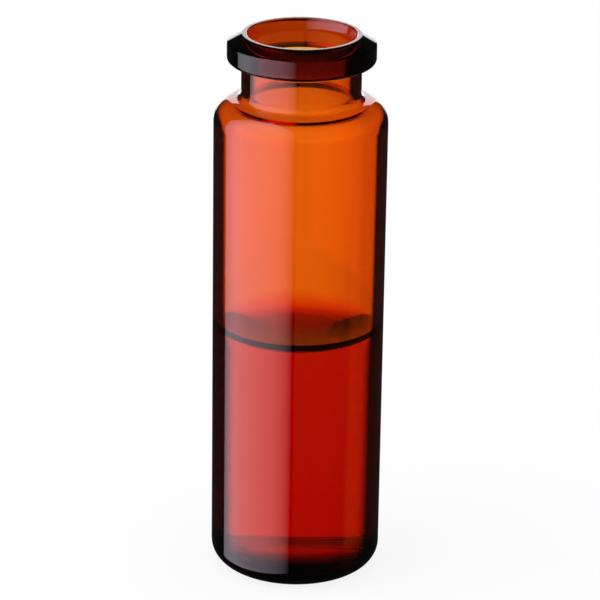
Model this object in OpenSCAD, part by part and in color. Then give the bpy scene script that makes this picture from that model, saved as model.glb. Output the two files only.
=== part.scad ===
// Amber glass sample vial with a crimp rim, standing open and part full of liquid.
// The glass is one wall, formed from tube: its whole section is one outline, which runs under the
// foot, up the outside, over the rim and down the inside, and is turned about Z.
// The liquid is turned from an outline that shares the inside of the base. The origin is the centre
// of the foot, and +Z points to the mouth.

/* [Body] */
// Height of the vial from the foot to the top of the rim
vial_h = 75; // [60:0.5:95]
// Outside diameter of the straight body
body_d = 23; // [21:0.5:28]
// Thickness of the wall in the body, the shoulder and the neck
wall_t = 1.2; // [1:0.05:1.4]

/* [Rim] */
// Outside diameter of the crimp rim
rim_d = 19.6; // [18.6:0.1:20.6]
// Height of the rim's straight side with its lower rounding
rim_side_h = 2.5; // [1.8:0.1:3.2]
// Drop of the bevel from the flat sealing ring to the side
rim_bevel_h = 1.15; // [0.6:0.05:1.6]
// Width of the flat sealing ring around the mouth
rim_flat_w = 0.6; // [0.4:0.1:0.9]
// Radius of the mouth's fire-polished inner edge
mouth_edge_r = 0.25; // [0.1:0.05:0.6]
// Widening of the bore's radius where it flares to the mouth
mouth_flare_w = 0.5; // [0.2:0.1:0.8]
// Height of the flare, down from the top of the rim
mouth_flare_h = 1.4; // [0.8:0.1:2.4]
// Radius of the bend from the straight bore to the flare
mouth_flare_r = 2; // [1:0.1:3]
// Radius of the bevel's two edges
bevel_edge_r = 0.3; // [0.1:0.05:0.5]
// Radius of the rim's lower outer edge
rim_under_r = 0.65; // [0.3:0.05:0.9]
// Slope of the rim's underside towards the neck, in degrees
rim_under_slope = 14; // [8:1:20]

/* [Neck and shoulder] */
// Outside diameter of the neck
neck_d = 15.8; // [15:0.1:16.4]
// Length of the neck between the rim's underside and the shoulder
neck_h = 4.5; // [3.5:0.1:8]
// Fillet between the neck and the rim's underside
rim_root_r = 0.3; // [0.1:0.05:0.5]
// Fillet between the neck and the shoulder, on the outside
neck_root_r = 0.9; // [0.4:0.1:0.9]
// Radius of the shoulder's outer rounding
shoulder_r = 3.3; // [2.6:0.1:3.3]
// Slope of the shoulder's top, in degrees
shoulder_slope = 10; // [4:1:16]
// Radius between the bore and the underside of the shoulder, on the inside
inner_root_r = 2.5; // [1:0.1:3]
// Radius between the shoulder and the body, on the inside
inner_shoulder_r = 1.5; // [0.8:0.1:2.4]

/* [Base] */
// Radius of the outer rounding between the body and the foot
heel_r = 2.8; // [2:0.1:3.4]
// Radius of the inner rounding between the body and the floor
inner_heel_r = 2; // [1.4:0.1:2.8]
// Width of the flat ring that the vial stands on
foot_w = 0.5; // [0.4:0.1:1]
// Radius of the foot ring's inner edge
foot_edge_r = 1.5; // [0.5:0.1:1.6]
// Height of the dome at the middle of the underside
push_up_h = 0.4; // [0.2:0.1:1]
// Thickness of the glass floor
floor_t = 1.4; // [1:0.1:2.2]

/* [Liquid] */
// Depth of the liquid above the middle of the floor
liquid_depth = 31.2; // [10:0.2:45]
// Capillary length of the liquid, which sets how far its surface climbs the wall
capillary_length = 2.2; // [1.5:0.1:2.7]
// Angle between the liquid's surface and the wall, in degrees
contact_angle = 20; // [10:1:50]

/* [Hidden] */

// Facets in a full turn, of the part and of a corner's rounding.
$fn = 64;
rounding_fn = 28;

// Straight pieces along the meniscus, and the surface's slope where they begin, in degrees.
meniscus_steps = 8;
meniscus_first_slope = 2.3;

// Straight pieces along the dome under the vial, and along the floor above it.
dome_steps = 5;

// Radii of the walls.
body_r = body_d / 2;
neck_r = neck_d / 2;
rim_r = rim_d / 2;
cavity_r = body_r - wall_t;
bore_r = neck_r - wall_t;
mouth_r = bore_r + mouth_flare_w;
sealing_r = mouth_r + rim_flat_w;

// Heights where the straight edges of the outside meet, from the top down.
bevel_z = vial_h - rim_bevel_h;
rim_under_z = bevel_z - rim_side_h;
rim_root_z = rim_under_z - (rim_r - neck_r) * tan(rim_under_slope);
neck_root_z = rim_root_z - neck_h;
shoulder_z = neck_root_z - (body_r - neck_r) * tan(shoulder_slope);

// The underside is a shallow dome within the foot ring, and the floor is the same dome, higher up.
foot_r = body_r - heel_r - foot_w;
floor_z = push_up_h + floor_t;

// The surface is level in the middle and steepest where it meets the glass.
level_z = floor_z + liquid_depth;
wall_slope = 90 - contact_angle;

// Height of the inside of the shoulder at radius r, one wall below the outside.
function inside_shoulder_z(r) =
    shoulder_z + (body_r - r) * tan(shoulder_slope) - wall_t / cos(shoulder_slope);

// Height of the dome at radius r, and its corners from the middle outwards, up to the last one
// before the given edge.
function dome_z(r) = push_up_h * (1 - (r / foot_r) ^ 2);
function dome(edge_r, lift) = [
    for (k = [0 : dome_steps - 1])
        let (r = edge_r * k / dome_steps)
        [r, dome_z(r) + lift, 0]
];
function reversed(corners) = [for (i = [len(corners) - 1 : -1 : 0]) corners[i]];

// A liquid that wets a wall stands in this curve: where its surface slopes by s, it is
// 2 sin(s / 2) capillary lengths above the level surface. This function is the distance along the
// level surface, also in capillary lengths, and grows towards the middle.
function meniscus_run(slope) = -ln(tan(slope / 4)) - 2 * cos(slope / 2);

// The corner of the surface where it has the given slope.
function meniscus_corner(slope) = [
    cavity_r - capillary_length * (meniscus_run(slope) - meniscus_run(wall_slope)),
    level_z + 2 * capillary_length * sin(slope / 2),
    0
];

// Each corner is [radius from the axis, height, rounding], in order round the section.
underside = concat(dome(foot_r, 0), [
    [foot_r, 0, foot_edge_r],
    [body_r, 0, heel_r]
]);
outside = [
    [body_r, shoulder_z, shoulder_r],
    [neck_r, neck_root_z, neck_root_r],
    [neck_r, rim_root_z, rim_root_r],
    [rim_r, rim_under_z, rim_under_r],
    [rim_r, bevel_z, bevel_edge_r],
    [sealing_r, vial_h, bevel_edge_r],
    [mouth_r, vial_h, mouth_edge_r]
];
inside = [
    [bore_r, vial_h - mouth_flare_h, mouth_flare_r],
    [bore_r, inside_shoulder_z(bore_r), inner_root_r],
    [cavity_r, inside_shoulder_z(cavity_r), inner_shoulder_r]
];
floor_inside = concat(dome(cavity_r - inner_heel_r, floor_t), [
    [cavity_r, dome_z(cavity_r) + floor_t, inner_heel_r]
]);
meniscus = [
    for (k = [meniscus_steps : -1 : 0])
        meniscus_corner(meniscus_first_slope + (wall_slope - meniscus_first_slope) * k / meniscus_steps)
];

function unit(v) = v / norm(v);
function point(corner) = [corner.x, corner.y];
function towards(from, to) = unit(point(to) - point(from));

// Half of the angle between the two edges that meet at a corner.
function half_angle(before, at, after) = acos(towards(at, before) * towards(at, after)) / 2;

// Length that a corner's rounding takes from each of its two edges.
function reach(before, at, after) = at[2] / tan(half_angle(before, at, after));

// Where a corner's rounding leaves the edge to its neighbour.
function tangent_point(before, at, after, neighbour) =
    point(at) + towards(at, neighbour) * reach(before, at, after);

// Length of the edge that ends at corner i.
function edge(corners, i) = norm(point(corners[i]) - point(corners[i - 1]));

// The corners, with a rounding made smaller where it would run into the next one on their edge.
function fitted(corners) =
    let (last = len(corners) - 1)
    let (reaches = [for (i = [0 : last])
        i == 0 || i == last ? 0 : reach(corners[i - 1], corners[i], corners[i + 1])])
    let (room = [for (i = [1 : last]) 0.99 * edge(corners, i) / (reaches[i - 1] + reaches[i])])
    [for (i = [0 : last]) reaches[i] == 0
        ? corners[i]
        : [corners[i].x, corners[i].y, corners[i][2] * min(1, room[i - 1], room[i])]];

// Positive where an outline drawn anticlockwise bulges at the corner, negative where it turns in.
function bulge(before, at, after) = cross(point(at) - point(before), point(after) - point(at));

// The piece of a corner's circle that lies between the arc and its chord.
module arc_piece(before, at, after) {
    start = tangent_point(before, at, after, before);
    end = tangent_point(before, at, after, after);
    outwards = unit(point(at) - (start + end) / 2);
    centre = point(at) - outwards * at[2] / sin(half_angle(before, at, after));
    intersection() {
        translate(centre) circle(at[2], $fn = rounding_fn);
        polygon([start, start + outwards * at[2], end + outwards * at[2], end]);
    }
}

// A closed outline through the corners, anticlockwise, each rounded by its own radius: a polygon that
// takes each arc's chord, with the arcs' pieces added where it bulges and cut where it turns in.
module rounded_outline(sharp_corners) {
    corners = fitted(sharp_corners);
    last = len(corners) - 1;
    rounded = [for (i = [1 : last - 1]) if (corners[i][2] > 0) i];
    chords = [for (i = [0 : last]) each corners[i][2] > 0
        ? [for (k = [-1, 1]) tangent_point(corners[i - 1], corners[i], corners[i + 1], corners[i + k])]
        : [point(corners[i])]];
    module arc_pieces(side) {
        for (i = rounded)
            if (side * bulge(corners[i - 1], corners[i], corners[i + 1]) > 0)
                arc_piece(corners[i - 1], corners[i], corners[i + 1]);
    }
    difference() {
        union() {
            polygon(chords);
            arc_pieces(1);
        }
        arc_pieces(-1);
    }
}

module vial() {
    color("saddlebrown", 0.6)
        rotate_extrude()
            rounded_outline(concat(underside, outside, inside, reversed(floor_inside)));
}

module sample_liquid() {
    color("firebrick")
        rotate_extrude()
            rounded_outline(concat(floor_inside, meniscus, [[0, level_z, 0]]));
}

vial();
sample_liquid();
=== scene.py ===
# Glass sample vial: an open amber glass vial with a crimp rim, part filled with a clear red sample.
# The vial stands on a pale floor in a studio with one large soft panel at its left.
import math

import bpy
import numpy as np
from mathutils import Matrix, Vector


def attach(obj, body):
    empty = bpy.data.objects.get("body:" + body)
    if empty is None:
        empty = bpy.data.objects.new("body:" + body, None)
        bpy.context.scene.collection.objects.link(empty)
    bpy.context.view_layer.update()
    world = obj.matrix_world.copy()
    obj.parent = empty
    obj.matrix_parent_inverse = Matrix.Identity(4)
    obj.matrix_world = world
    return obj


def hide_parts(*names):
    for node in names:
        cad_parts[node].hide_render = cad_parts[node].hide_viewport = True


MM = 0.001  # one millimetre, in metres

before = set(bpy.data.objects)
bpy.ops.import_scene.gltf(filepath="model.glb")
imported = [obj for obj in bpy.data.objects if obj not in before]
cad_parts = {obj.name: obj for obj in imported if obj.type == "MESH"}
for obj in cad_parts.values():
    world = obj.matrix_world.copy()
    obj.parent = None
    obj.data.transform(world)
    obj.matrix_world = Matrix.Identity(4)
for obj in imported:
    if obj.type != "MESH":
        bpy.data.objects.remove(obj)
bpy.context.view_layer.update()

# ---------------------------------------------------------------------------------------------
# Vial. One piece of amber borosilicate glass, formed from drawn tube: the foot is closed and
# pushed up in the flame, and the shoulder, neck and crimp rim are rolled in while it is soft.
# ---------------------------------------------------------------------------------------------
vial_h = 75.0 * MM
body_r = 11.5 * MM
neck_r = 7.9 * MM
rim_r = 9.8 * MM
wall = 1.2 * MM
cavity_r = body_r - wall
bore_r = neck_r - wall

heel_round = 2.8 * MM
inner_heel_round = 2.0 * MM
foot_ring = 0.5 * MM
foot_edge_round = 1.5 * MM
push_up = 0.4 * MM
floor_thickness = 1.4 * MM

shoulder_round = 3.3 * MM
shoulder_slope = math.radians(10)
neck_length = 4.5 * MM
neck_root_round = 0.9 * MM
inner_root_round = 2.5 * MM
inner_shoulder_round = 1.8 * MM
rim_root_round = 0.3 * MM

rim_side = 2.5 * MM
rim_bevel = 1.15 * MM
rim_under_slope = math.radians(14)
rim_under_round = 0.65 * MM
bevel_edge_round = 0.3 * MM
sealing_ring = 0.6 * MM
mouth_edge_round = 0.25 * MM
mouth_flare = 0.5 * MM
mouth_flare_h = 1.4 * MM
mouth_flare_round = 2.0 * MM
mouth_r = bore_r + mouth_flare
sealing_r = mouth_r + sealing_ring

bevel_z = vial_h - rim_bevel
rim_under_z = bevel_z - rim_side
rim_root_z = rim_under_z - (rim_r - neck_r) * math.tan(rim_under_slope)
neck_root_z = rim_root_z - neck_length
shoulder_z = neck_root_z - (body_r - neck_r) * math.tan(shoulder_slope)
foot_r = body_r - heel_round - foot_ring
floor_z = push_up + floor_thickness


def inside_shoulder_z(r):
    """Height of the inside of the shoulder: the outside's slope, one wall lower."""
    return shoulder_z + (body_r - r) * math.tan(shoulder_slope) - wall / math.cos(shoulder_slope)


def smooth_corners(r, z):
    """Points along a smooth curve as corners [r, z, rounding radius].

    Each corner's arc takes 0.45 of the shorter of its two edges, and an arc that takes the length t
    from each edge has the radius t over the tangent of half the corner's turn.
    """
    edges = np.stack([np.diff(r), np.diff(z)], axis=1)
    length = np.linalg.norm(edges, axis=1)
    turn = np.abs(np.diff(np.unwrap(np.arctan2(edges[:, 1], edges[:, 0]))))
    rounding = 0.45 * np.minimum(length[1:], length[:-1]) / np.tan(turn / 2)
    return np.stack([r, z, np.concatenate([[0], rounding, [0]])], axis=1).tolist()


def dome_z(r):
    """Height of the underside's shallow dome, push_up * (1 - (r / foot_r) ** 2)."""
    return push_up * (1 - (r / foot_r) ** 2)


def dome_corners(edge_r, lift, steps=20):
    """Corners along the dome from its middle outwards, up to the last one before the given edge."""
    r = np.linspace(0, edge_r, steps + 1)
    return smooth_corners(r, dome_z(r) + lift)[:-1]


def rounded_profile(corners, arc_step=math.radians(4), straight_step=1.5 * MM):
    """Points and outward normals along an outline given as corners [r, z, rounding radius].

    Each corner is an arc that touches both of its edges. Its centre lies on the bisector, at the
    radius over the sine of half the corner's angle, and its ends lie on the edges, at the radius
    over the tangent of that half angle. The normal on an arc points along its radius, and on a
    straight it is the edge turned by a right angle clockwise.
    """
    corners = np.array(corners, float)
    at, rounding = corners[:, :2], corners[:, 2]
    edges = np.diff(at, axis=0)
    edges /= np.linalg.norm(edges, axis=1)[:, None]
    edge_normals = np.stack([edges[:, 1], -edges[:, 0]], axis=1)
    points, normals = [at[:1]], [edge_normals[:1]]

    def add_straight(to, normal):
        start = points[-1][-1]
        count = max(1, math.ceil(np.linalg.norm(to - start) / straight_step))
        share = np.arange(1, count + 1)[:, None] / count
        points.append(start + share * (to - start))
        normals.append(np.repeat(normal[None], count, axis=0))

    for i in range(1, len(at) - 1):
        turn = math.atan2(np.cross(edges[i - 1], edges[i]), edges[i - 1] @ edges[i])
        reach = rounding[i] * math.tan(abs(turn) / 2)
        side = math.copysign(1, turn)
        start = at[i] - edges[i - 1] * reach
        centre = start - side * edge_normals[i - 1] * rounding[i]
        add_straight(start, edge_normals[i - 1])
        angle = turn * np.arange(1, 1 + max(2, math.ceil(abs(turn) / arc_step)))
        angle /= len(angle)
        x, z = edge_normals[i - 1]
        turned = np.stack([x * np.cos(angle) - z * np.sin(angle),
                           x * np.sin(angle) + z * np.cos(angle)], axis=1)
        points.append(centre + side * turned * rounding[i])
        normals.append(turned)
    add_straight(at[-1], edge_normals[-1])
    return np.concatenate(points), np.concatenate(normals)


def turned_piece(name, corners, sides=192, **values_at):
    """A closed surface of revolution about Z, from an outline that starts and ends on the axis.

    Point (i, j) of the grid is profile point i carried round by j steps of a full turn, and the
    first and the last profile point are one vertex each. Every vertex keeps the exact normal of
    the surface, carried round with it. Each value named in values_at is a formula in the radius,
    height and normal of the profile points, and is kept on the mesh as an attribute of that name.
    """
    profile, outward = rounded_profile(corners)
    turn = np.arange(sides) * 2 * math.pi / sides
    around = np.stack([np.cos(turn), np.sin(turn)], axis=1)

    def carried(pairs):
        ring = pairs[1:-1, None, :1] * around[None]
        height = np.repeat(pairs[1:-1, None, 1:], sides, axis=1)
        return np.concatenate([ring, height], axis=2).reshape(-1, 3)

    poles = np.array([[0, 0, profile[0, 1]], [0, 0, profile[-1, 1]]])
    pole_normals = np.array([[0, 0, np.sign(outward[0, 1])], [0, 0, np.sign(outward[-1, 1])]])
    vertices = np.concatenate([carried(profile), poles])
    normals = np.concatenate([carried(outward), pole_normals])

    rings = len(profile) - 2
    here = np.arange(rings * sides).reshape(rings, sides)
    beside = np.roll(here, -1, axis=1)
    quads = np.stack([here[:-1], beside[:-1], beside[1:], here[1:]], axis=2).reshape(-1, 4)
    first, last = np.full(sides, rings * sides), np.full(sides, rings * sides + 1)
    first_fan = np.stack([first, beside[0], here[0]], axis=1)
    last_fan = np.stack([last, here[-1], beside[-1]], axis=1)
    mesh = bpy.data.meshes.new(name)
    mesh.from_pydata(vertices.tolist(), [], quads.tolist() + first_fan.tolist() + last_fan.tolist())
    mesh.shade_smooth()
    mesh.normals_split_custom_set_from_vertices(normals.tolist())
    mesh.validate()
    for value_name, formula in values_at.items():
        value = formula(profile[:, 0], profile[:, 1], outward[:, 0], outward[:, 1])
        value = np.concatenate([np.repeat(value[1:-1], sides), value[[0, -1]]])
        mesh.attributes.new(value_name, "FLOAT", "POINT").data.foreach_set("value", value)
    piece = bpy.data.objects.new(name, mesh)
    bpy.context.scene.collection.objects.link(piece)
    return piece


def linear(hex_colour):
    """Linear RGBA of an opaque sRGB hex colour."""
    channels = [int(hex_colour[i:i + 2], 16) / 255 for i in (1, 3, 5)]
    return [c / 12.92 if c <= 0.04045 else ((c + 0.055) / 1.055) ** 2.4 for c in channels] + [1.0]


def node(tree, kind, settings=None, **inputs):
    """Adds a node. Settings are its own, and inputs are named, or numbered as _0, _1 and so on.

    An input is a value, another node's output, or another node, which stands for its first output.
    """
    made = tree.nodes.new(kind)
    for key, value in (settings or {}).items():
        setattr(made, key, value)
    for key, value in inputs.items():
        socket = made.inputs[int(key[1:])] if key[0] == "_" else made.inputs[key.replace("_", " ")]
        if isinstance(value, bpy.types.Node):
            value = value.outputs[0]
        if isinstance(value, bpy.types.NodeSocket):
            tree.links.new(value, socket)
        else:
            socket.default_value = value
    return made


def new_material(name):
    """An empty material with its node tree and output node."""
    material = bpy.data.materials.new(name)
    material.use_nodes = True
    material.node_tree.nodes.clear()
    return material, material.node_tree, node(material.node_tree, "ShaderNodeOutputMaterial")


def amber_borosilicate(name):
    """Clear glass, coloured right through by iron and manganese, fire-polished on every face.

    Looked at squarely the wall lets the light through. Towards its edges its colour holds painted
    shade, which stands in for the light that runs along the wall and is turned away, so the glass
    is painted darker where it is seen at a slant. How squarely it is seen is the cosine of the
    angle between the view and the normal. The painted share of light that passes rises smoothly
    between two cosines, and evenly on to the square view, and each part has its own painted share.
    """
    least_share = 0.04  # passes at the greatest slant
    slanted_cosine, slanted_share = 0.62, 0.70  # from here the share rises evenly, to 1 at a cosine of 1
    amber_per_metre = 2550.0
    glass_ior = 1.5

    material, tree, output = new_material(name)
    # Painted shade: values kept on the mesh for each part of the vial set where and how far its colour is
    # darkened.
    outside, dark_below, clear_above, clearness, leaving, ghost = [
        node(tree, "ShaderNodeAttribute", {"attribute_name": value}).outputs["Fac"]
        for value in ("outside", "dark_below", "clear_above", "clearness", "leaving", "ghost")]
    within = node(tree, "ShaderNodeNewGeometry").outputs["Backfacing"]

    # With a blend of 0.5, Facing is 1 less the cosine.
    slant = node(tree, "ShaderNodeLayerWeight", Blend=0.5).outputs["Facing"]
    cosine = node(tree, "ShaderNodeMath", {"operation": "SUBTRACT"}, _0=1.0, _1=slant)
    edge = node(tree, "ShaderNodeMapRange", {"interpolation_type": "SMOOTHSTEP"}, Value=cosine,
                From_Min=dark_below, From_Max=clear_above, To_Min=least_share, To_Max=1.0)
    falloff = node(tree, "ShaderNodeMapRange", Value=cosine, From_Min=slanted_cosine, From_Max=1.0,
                   To_Min=slanted_share, To_Max=1.0)
    share = node(tree, "ShaderNodeMath", {"operation": "MULTIPLY"}, _0=edge, _1=falloff)
    share = node(tree, "ShaderNodeMath", {"operation": "MULTIPLY"}, _0=share, _1=clearness)
    # The shader tints what passes a face by the root of its colour, so the share goes in squared.
    share = node(tree, "ShaderNodeMath", {"operation": "POWER"}, _0=share, _1=2.0)

    # The painted shade holds where a ray from the camera enters the glass through its outside. Where
    # the ray leaves the glass again, through either face, a second painted share of shade, given for
    # each part, holds instead.
    entering = node(tree, "ShaderNodeMath", {"operation": "SUBTRACT", "use_clamp": True},
                    _0=outside, _1=within)
    leaving = node(tree, "ShaderNodeMix", {"data_type": "FLOAT"}, _0=within, _2=1.0, _3=leaving)
    painted_shade = node(tree, "ShaderNodeMix", {"data_type": "FLOAT"}, _0=entering, _2=leaving, _3=share)
    # The ghost is the second, amber reflection of the room, which the wall's inner face gives.
    ghost = node(tree, "ShaderNodeMath", {"operation": "MULTIPLY"}, _0=ghost, _1=within)
    # The glass's colour carries the painted shade.
    glass = node(tree, "ShaderNodeBsdfPrincipled", Base_Color=painted_shade, Metallic=ghost, Roughness=0.0,
                 IOR=glass_ior, Transmission_Weight=1.0)
    amber = node(tree, "ShaderNodeVolumeAbsorption", Color=linear("#FDD647"), Density=amber_per_metre)
    tree.links.new(glass.outputs[0], output.inputs["Surface"])
    tree.links.new(amber.outputs[0], output.inputs["Volume"])
    return material


vial_corners = [
    *dome_corners(foot_r, 0),
    [foot_r, 0, foot_edge_round],
    [body_r, 0, heel_round],
    [body_r, shoulder_z, shoulder_round],
    [neck_r, neck_root_z, neck_root_round],
    [neck_r, rim_root_z, rim_root_round],
    [rim_r, rim_under_z, rim_under_round],
    [rim_r, bevel_z, bevel_edge_round],
    [sealing_r, vial_h, bevel_edge_round],
    [mouth_r, vial_h, mouth_edge_round],
    [bore_r, vial_h - mouth_flare_h, mouth_flare_round],
    [bore_r, inside_shoulder_z(bore_r), inner_root_round],
    [cavity_r, inside_shoulder_z(cavity_r), inner_shoulder_round],
    [cavity_r, dome_z(cavity_r) + floor_thickness, inner_heel_round],
    *reversed(dome_corners(cavity_r - inner_heel_round, floor_thickness)),
]
above_inner_heel_z = 5 * MM
above_floor_z = 10 * MM
upright = 0.9  # a face is upright where the part of its normal across the axis is more than this
mirrored_share = 0.08


def is_outside(r, z, out, up):
    """One on the outside of the wall, nought on the inside, which faces the axis or is the floor."""
    inside = (out < 0.0) | ((up > 0.5) & (z < above_floor_z))
    return np.where(inside, 0.0, 1.0)


def inner_mirror(r, z, out, up):
    """Share of the light in the wall that its upright inner face mirrors, nought elsewhere."""
    return np.where((out < -upright) & (z > above_inner_heel_z), mirrored_share, 0.0)


part_changes = [  # the heights between which each part of the outside gives way to the next
    (3.9 * MM, 5.2 * MM),  # heel to lower body
    (34 * MM, 36 * MM),  # lower body to upper body, just above the sample
    (shoulder_z - 1.7 * MM, shoulder_z - 0.7 * MM),  # upper body to shoulder
    (neck_root_z + 0.2 * MM, neck_root_z + 1.0 * MM),  # shoulder to neck
    (rim_root_z, rim_root_z + 0.2 * MM),  # neck to rim
    (bevel_z, vial_h),  # rim to bevel
]


def by_part(heel, lower, upper, shoulder, neck, rim, bevel):
    """A formula with one value for each part of the outside, that runs evenly over each change."""
    values = np.repeat([heel, lower, upper, shoulder, neck, rim, bevel], 2)[1:-1]
    return lambda r, z, out, up: np.interp(z, np.ravel(part_changes), values)


glass_piece = turned_piece(
    "vial_glass", vial_corners, outside=is_outside, ghost=inner_mirror,
    # Painted shade of the glass, for each part: where the slant darkening starts and ends, how much light
    # the colour lets through, darkest at heel, rim and bevel, and the rim's share where a ray leaves.
    dark_below=by_part(heel=0.46, lower=0.46, upper=0.43, shoulder=0.10, neck=0.54, rim=0.76, bevel=0.0),
    clear_above=by_part(heel=0.62, lower=0.62, upper=0.505, shoulder=0.45, neck=0.62, rim=0.80, bevel=0.1),
    clearness=by_part(heel=0.05, lower=0.99, upper=1.0, shoulder=1.0, neck=0.80, rim=0.26, bevel=0.05),
    leaving=by_part(heel=1.0, lower=1.0, upper=1.0, shoulder=1.0, neck=1.0, rim=0.18, bevel=1.0))
glass_piece.data.materials.append(amber_borosilicate("amber_borosilicate"))
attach(glass_piece, "root")
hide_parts("vial")

# ---------------------------------------------------------------------------------------------
# Sample. A clear, deep red watery liquid that lies in the vial and climbs its wall in a meniscus.
# It wets the glass, so its surface lies a hair's breadth inside the wall, with no air between.
# ---------------------------------------------------------------------------------------------
wetting = 0.03 * MM
liquid_depth = 31.2 * MM
capillary_length = 2.2 * MM
contact_angle = math.radians(20)
contact_round = 0.01 * MM
liquid_r = cavity_r + wetting
liquid_z = floor_z + liquid_depth


def meniscus_corners(steps=9, first_slope=0.04):
    """The liquid's surface from its middle out and up to the glass, as [r, z, rounding] corners.

    It is the shape that surface tension and weight give a liquid at a wall. Where its slope is s,
    it stands 2 * capillary length * sin(s / 2) above the level, and the distance along the level is
    the capillary length times (ln(cot(s / 4)) - 2 * cos(s / 2)), counted from the wall's own slope.
    """
    slope = np.linspace(first_slope, math.pi / 2 - contact_angle, steps)
    run = -np.log(np.tan(slope / 4)) - 2 * np.cos(slope / 2)
    r = np.append(0, cavity_r - capillary_length * (run - run[-1]))
    z = liquid_z + np.append(0, 2 * capillary_length * np.sin(slope / 2))
    return smooth_corners(r, z)


wetted_r, wetted_z, _ = meniscus_corners()[-1]
liquid_corners = [
    *dome_corners(cavity_r - inner_heel_round, floor_thickness - wetting),
    [liquid_r, dome_z(cavity_r) + floor_thickness - wetting, inner_heel_round],
    [liquid_r, wetted_z, contact_round],
    [wetted_r, wetted_z, contact_round],
    *reversed(meniscus_corners()[:-1]),
]


def under_contact(r, z, out, up):
    """Millimetres from the contact line down to a point of the liquid's side, and 99 elsewhere."""
    return np.where(out > upright, (wetted_z - z) / MM, 99.0)


def dyed_water(name):
    """Water with a red dye: it takes little red, and nearly all the green and blue.

    Just under the contact line, where the thin wedge of liquid climbs the glass, the liquid's side
    is painted black: painted shade that stands in for the light from behind that the wedge turns away.
    """
    painted_line_mm = 0.82  # height of the black line
    dye_per_metre = 1400.0
    water_ior = 1.33

    material, tree, output = new_material(name)
    within = node(tree, "ShaderNodeNewGeometry").outputs["Backfacing"]
    under = node(tree, "ShaderNodeAttribute", {"attribute_name": "under_contact"}).outputs["Fac"]
    # Painted shade: seen from outside, the side is black up to this height under the contact line.
    off_painted_line = node(tree, "ShaderNodeMath", {"operation": "GREATER_THAN"}, _0=under, _1=painted_line_mm)
    clear = node(tree, "ShaderNodeMath", {"operation": "MAXIMUM"}, _0=off_painted_line, _1=within)
    water = node(tree, "ShaderNodeBsdfPrincipled", Base_Color=clear, Roughness=0.0, IOR=water_ior,
                 Transmission_Weight=1.0)
    dye = node(tree, "ShaderNodeVolumeAbsorption", Color=linear("#FDC900"), Density=dye_per_metre)
    tree.links.new(water.outputs[0], output.inputs["Surface"])
    tree.links.new(dye.outputs[0], output.inputs["Volume"])
    return material


liquid_piece = turned_piece("red_sample", liquid_corners, under_contact=under_contact)
liquid_piece.data.materials.append(dyed_water("dyed_water"))
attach(liquid_piece, "root")
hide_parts("sample_liquid")

# ---------------------------------------------------------------------------------------------
# Floor. Pale and matt. The camera sees it nearly white, with the vial's faint shadow on it. Light
# in the glass passes it by and meets the room, but for a shade close under the foot, where little
# light would reach a floor.
# ---------------------------------------------------------------------------------------------
floor_half = 3.0
seen_as_white = 0.85  # share of the floor's look that is plain white and takes no shadow
shade_r = 24 * MM
shade_sides = 48
shade_dark_r, shade_clear_r = 8.5 * MM, 11.5 * MM


def flat_card(name, corners):
    """A flat card through its corners, which belongs to the studio."""
    mesh = bpy.data.meshes.new(name)
    mesh.from_pydata(corners, [], [tuple(range(len(corners)))])
    card = bpy.data.objects.new(name, mesh)
    bpy.context.scene.collection.objects.link(card)
    return card


floor = flat_card("floor", [(-floor_half, -floor_half, 0), (floor_half, -floor_half, 0),
                            (floor_half, floor_half, 0), (-floor_half, floor_half, 0)])
material, tree, output = new_material("pale_floor")
seen = node(tree, "ShaderNodeLightPath").outputs["Is Camera Ray"]
lit = node(tree, "ShaderNodeBsdfDiffuse", Color=linear("#F0F0F0"))
white = node(tree, "ShaderNodeEmission", Color=linear("#FFFFFF"), Strength=1.0)
whiteness = node(tree, "ShaderNodeMath", {"operation": "MULTIPLY"}, _0=seen, _1=seen_as_white)
surface = node(tree, "ShaderNodeMixShader", _0=whiteness, _1=lit, _2=white)
tree.links.new(surface.outputs[0], output.inputs["Surface"])
floor.data.materials.append(material)
floor.visible_glossy = False
floor.visible_transmission = False

shade_angles = np.linspace(0, 2 * math.pi, shade_sides, endpoint=False)
shade = flat_card("shade_under_vial", [
    (shade_r * math.cos(angle), shade_r * math.sin(angle), 0) for angle in shade_angles])
material, tree, output = new_material("shade")
place = node(tree, "ShaderNodeTexCoord").outputs["Object"]
distance = node(tree, "ShaderNodeVectorMath", {"operation": "LENGTH"}, _0=place).outputs["Value"]
clearing = node(tree, "ShaderNodeMapRange", {"interpolation_type": "SMOOTHSTEP"}, Value=distance,
                From_Min=shade_dark_r, From_Max=shade_clear_r, To_Min=0.0, To_Max=1.0)
black = node(tree, "ShaderNodeEmission", Color=linear("#000000"), Strength=0.0)
clear = node(tree, "ShaderNodeBsdfTransparent")
surface = node(tree, "ShaderNodeMixShader", _0=clearing, _1=black, _2=clear)
tree.links.new(surface.outputs[0], output.inputs["Surface"])
shade.data.materials.append(material)
shade.visible_camera = False
shade.visible_diffuse = False
shade.visible_glossy = False
shade.visible_shadow = False

# ---------------------------------------------------------------------------------------------
# Room. The camera sees plain white, and the floor is lit by it. Light in the glass meets a room
# that is white behind the vial and near the horizon, and dark overhead, straight down and low in
# front. Its limits are parts of a direction of length one: Y points back, and Z points up.
# ---------------------------------------------------------------------------------------------
overhead_starts_z, overhead_dark_z = 0.27, 0.54
underfoot_dark_z, underfoot_ends_z = -1.0, -0.74
front_dark_y, back_white_y = -0.35, -0.05
low_dark_z, horizon_white_z = -0.50, -0.20
front_glow = 0.03  # share of the white that is left low in front
mirrored_glow = 0.02  # share of the white that is mirrored in the glass

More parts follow.
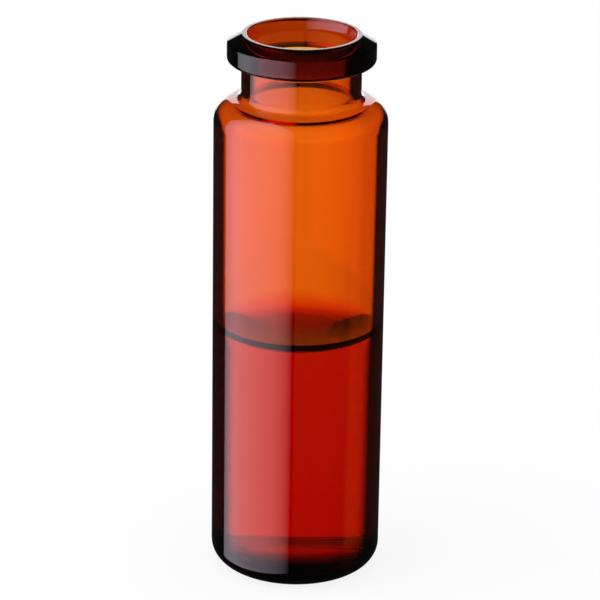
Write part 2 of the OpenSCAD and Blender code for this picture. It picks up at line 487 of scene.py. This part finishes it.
world = bpy.data.worlds.new("studio")
world.use_nodes = True
bpy.context.scene.world = world
tree = world.node_tree
tree.nodes.clear()
output = node(tree, "ShaderNodeOutputWorld")
ray = node(tree, "ShaderNodeLightPath").outputs
direction = node(tree, "ShaderNodeTexCoord").outputs["Generated"]
part = node(tree, "ShaderNodeSeparateXYZ", _0=direction).outputs
overhead = node(tree, "ShaderNodeMapRange", {"interpolation_type": "SMOOTHSTEP"}, Value=part["Z"],
                From_Min=overhead_starts_z, From_Max=overhead_dark_z, To_Min=1.0, To_Max=0.0)
underfoot = node(tree, "ShaderNodeMapRange", Value=part["Z"],
                 From_Min=underfoot_dark_z, From_Max=underfoot_ends_z, To_Min=0.0, To_Max=1.0)
behind = node(tree, "ShaderNodeMapRange", {"interpolation_type": "SMOOTHSTEP"}, Value=part["Y"],
              From_Min=front_dark_y, From_Max=back_white_y, To_Min=front_glow, To_Max=1.0)
horizon = node(tree, "ShaderNodeMapRange", {"interpolation_type": "SMOOTHSTEP"}, Value=part["Z"],
               From_Min=low_dark_z, From_Max=horizon_white_z, To_Min=front_glow, To_Max=1.0)
either = node(tree, "ShaderNodeMath", {"operation": "MAXIMUM"}, _0=behind, _1=horizon)
through = node(tree, "ShaderNodeMath", {"operation": "MULTIPLY"}, _0=overhead, _1=underfoot)
through = node(tree, "ShaderNodeMath", {"operation": "MULTIPLY"}, _0=through, _1=either)
plain = node(tree, "ShaderNodeMath", {"operation": "MAXIMUM"}, _0=ray["Is Camera Ray"],
             _1=ray["Is Diffuse Ray"])
veil = node(tree, "ShaderNodeMath", {"operation": "MULTIPLY"}, _0=ray["Is Glossy Ray"], _1=mirrored_glow)
plain = node(tree, "ShaderNodeMath", {"operation": "MAXIMUM"}, _0=plain, _1=veil)
brightness = node(tree, "ShaderNodeMix", {"data_type": "FLOAT"}, _0=ray["Is Transmission Ray"],
                  _2=plain, _3=through)
background = node(tree, "ShaderNodeBackground", Color=linear("#FFFFFF"), Strength=brightness)
tree.links.new(background.outputs[0], output.inputs["Surface"])

# ---------------------------------------------------------------------------------------------
# Panels. A large soft panel stands upright at the vial's left and gives the long pale reflection
# on its body. It is dark at its near end and brightest beside the vial. A white card behind the
# vial is there for its reflection in the glass.
# ---------------------------------------------------------------------------------------------
panel_near = (-0.096, -1.196)
panel_far = (-0.411, 0.183)
panel_near_bottom, panel_far_bottom = -0.62, -0.26
panel_top = 1.2
panel_dark_y = -1.05
panel_fades_from_y = 0.0
panel_strength = 3.25
panel_far_share = 0.40  # share of the strength that is left at the far end
card_half_width = 0.3
card_y = 1.0
card_bottom, card_top = -0.15, 0.5
card_strength = 2.2

panel = flat_card("soft_panel", [(*panel_near, panel_near_bottom), (*panel_far, panel_far_bottom),
                                 (*panel_far, panel_top), (*panel_near, panel_top)])
material, tree, output = new_material("soft_panel")
place = node(tree, "ShaderNodeTexCoord").outputs["Object"]
along = node(tree, "ShaderNodeSeparateXYZ", _0=place).outputs["Y"]
rising = node(tree, "ShaderNodeMapRange", Value=along, From_Min=panel_dark_y, From_Max=panel_far[1],
              To_Min=0.0, To_Max=panel_strength)
fading = node(tree, "ShaderNodeMapRange", Value=along, From_Min=panel_fades_from_y,
              From_Max=panel_far[1], To_Min=1.0, To_Max=panel_far_share)
strength = node(tree, "ShaderNodeMath", {"operation": "MULTIPLY"}, _0=rising, _1=fading)
glow = node(tree, "ShaderNodeEmission", Color=linear("#F9ECFF"), Strength=strength)
tree.links.new(glow.outputs[0], output.inputs["Surface"])
panel.data.materials.append(material)
panel.visible_camera = False

back_card = flat_card("back_card", [
    (-card_half_width, card_y, card_bottom), (card_half_width, card_y, card_bottom),
    (card_half_width, card_y, card_top), (-card_half_width, card_y, card_top)])
material, tree, output = new_material("back_card")
glow = node(tree, "ShaderNodeEmission", Color=linear("#FFFFFF"), Strength=card_strength)
tree.links.new(glow.outputs[0], output.inputs["Surface"])
back_card.data.materials.append(material)
back_card.visible_camera = False
back_card.visible_transmission = False
back_card.visible_diffuse = False

# ---------------------------------------------------------------------------------------------
# Camera. A long lens in front of the vial, a little above it, so that it looks into the mouth. It
# is rolled slightly, and aimed a little off the middle of the vial.
# ---------------------------------------------------------------------------------------------
camera_distance = 421.98 * MM
camera_elevation = math.radians(21.03)
camera_roll = math.radians(0.853)
aim_right = 0.236 * MM
aim_up = 0.284 * MM

towards_camera = Vector((0, -math.cos(camera_elevation), math.sin(camera_elevation)))
level_right = Vector((1, 0, 0))
level_up = towards_camera.cross(level_right)
camera_right = level_right * math.cos(camera_roll) + level_up * math.sin(camera_roll)
camera_up = level_up * math.cos(camera_roll) - level_right * math.sin(camera_roll)
aim = Vector((0, 0, vial_h / 2)) + camera_right * aim_right + camera_up * aim_up
turned = Matrix((camera_right, camera_up, towards_camera)).transposed().to_4x4()
lens = bpy.data.cameras.new("camera")
lens.sensor_width = 36.0
lens.lens = 188.5
lens.clip_start = 0.01
camera = bpy.data.objects.new("camera", lens)
camera.matrix_world = Matrix.Translation(aim + towards_camera * camera_distance) @ turned
bpy.context.scene.collection.objects.link(camera)
bpy.context.scene.camera = camera
bpy.context.scene.view_settings.view_transform = "Standard"
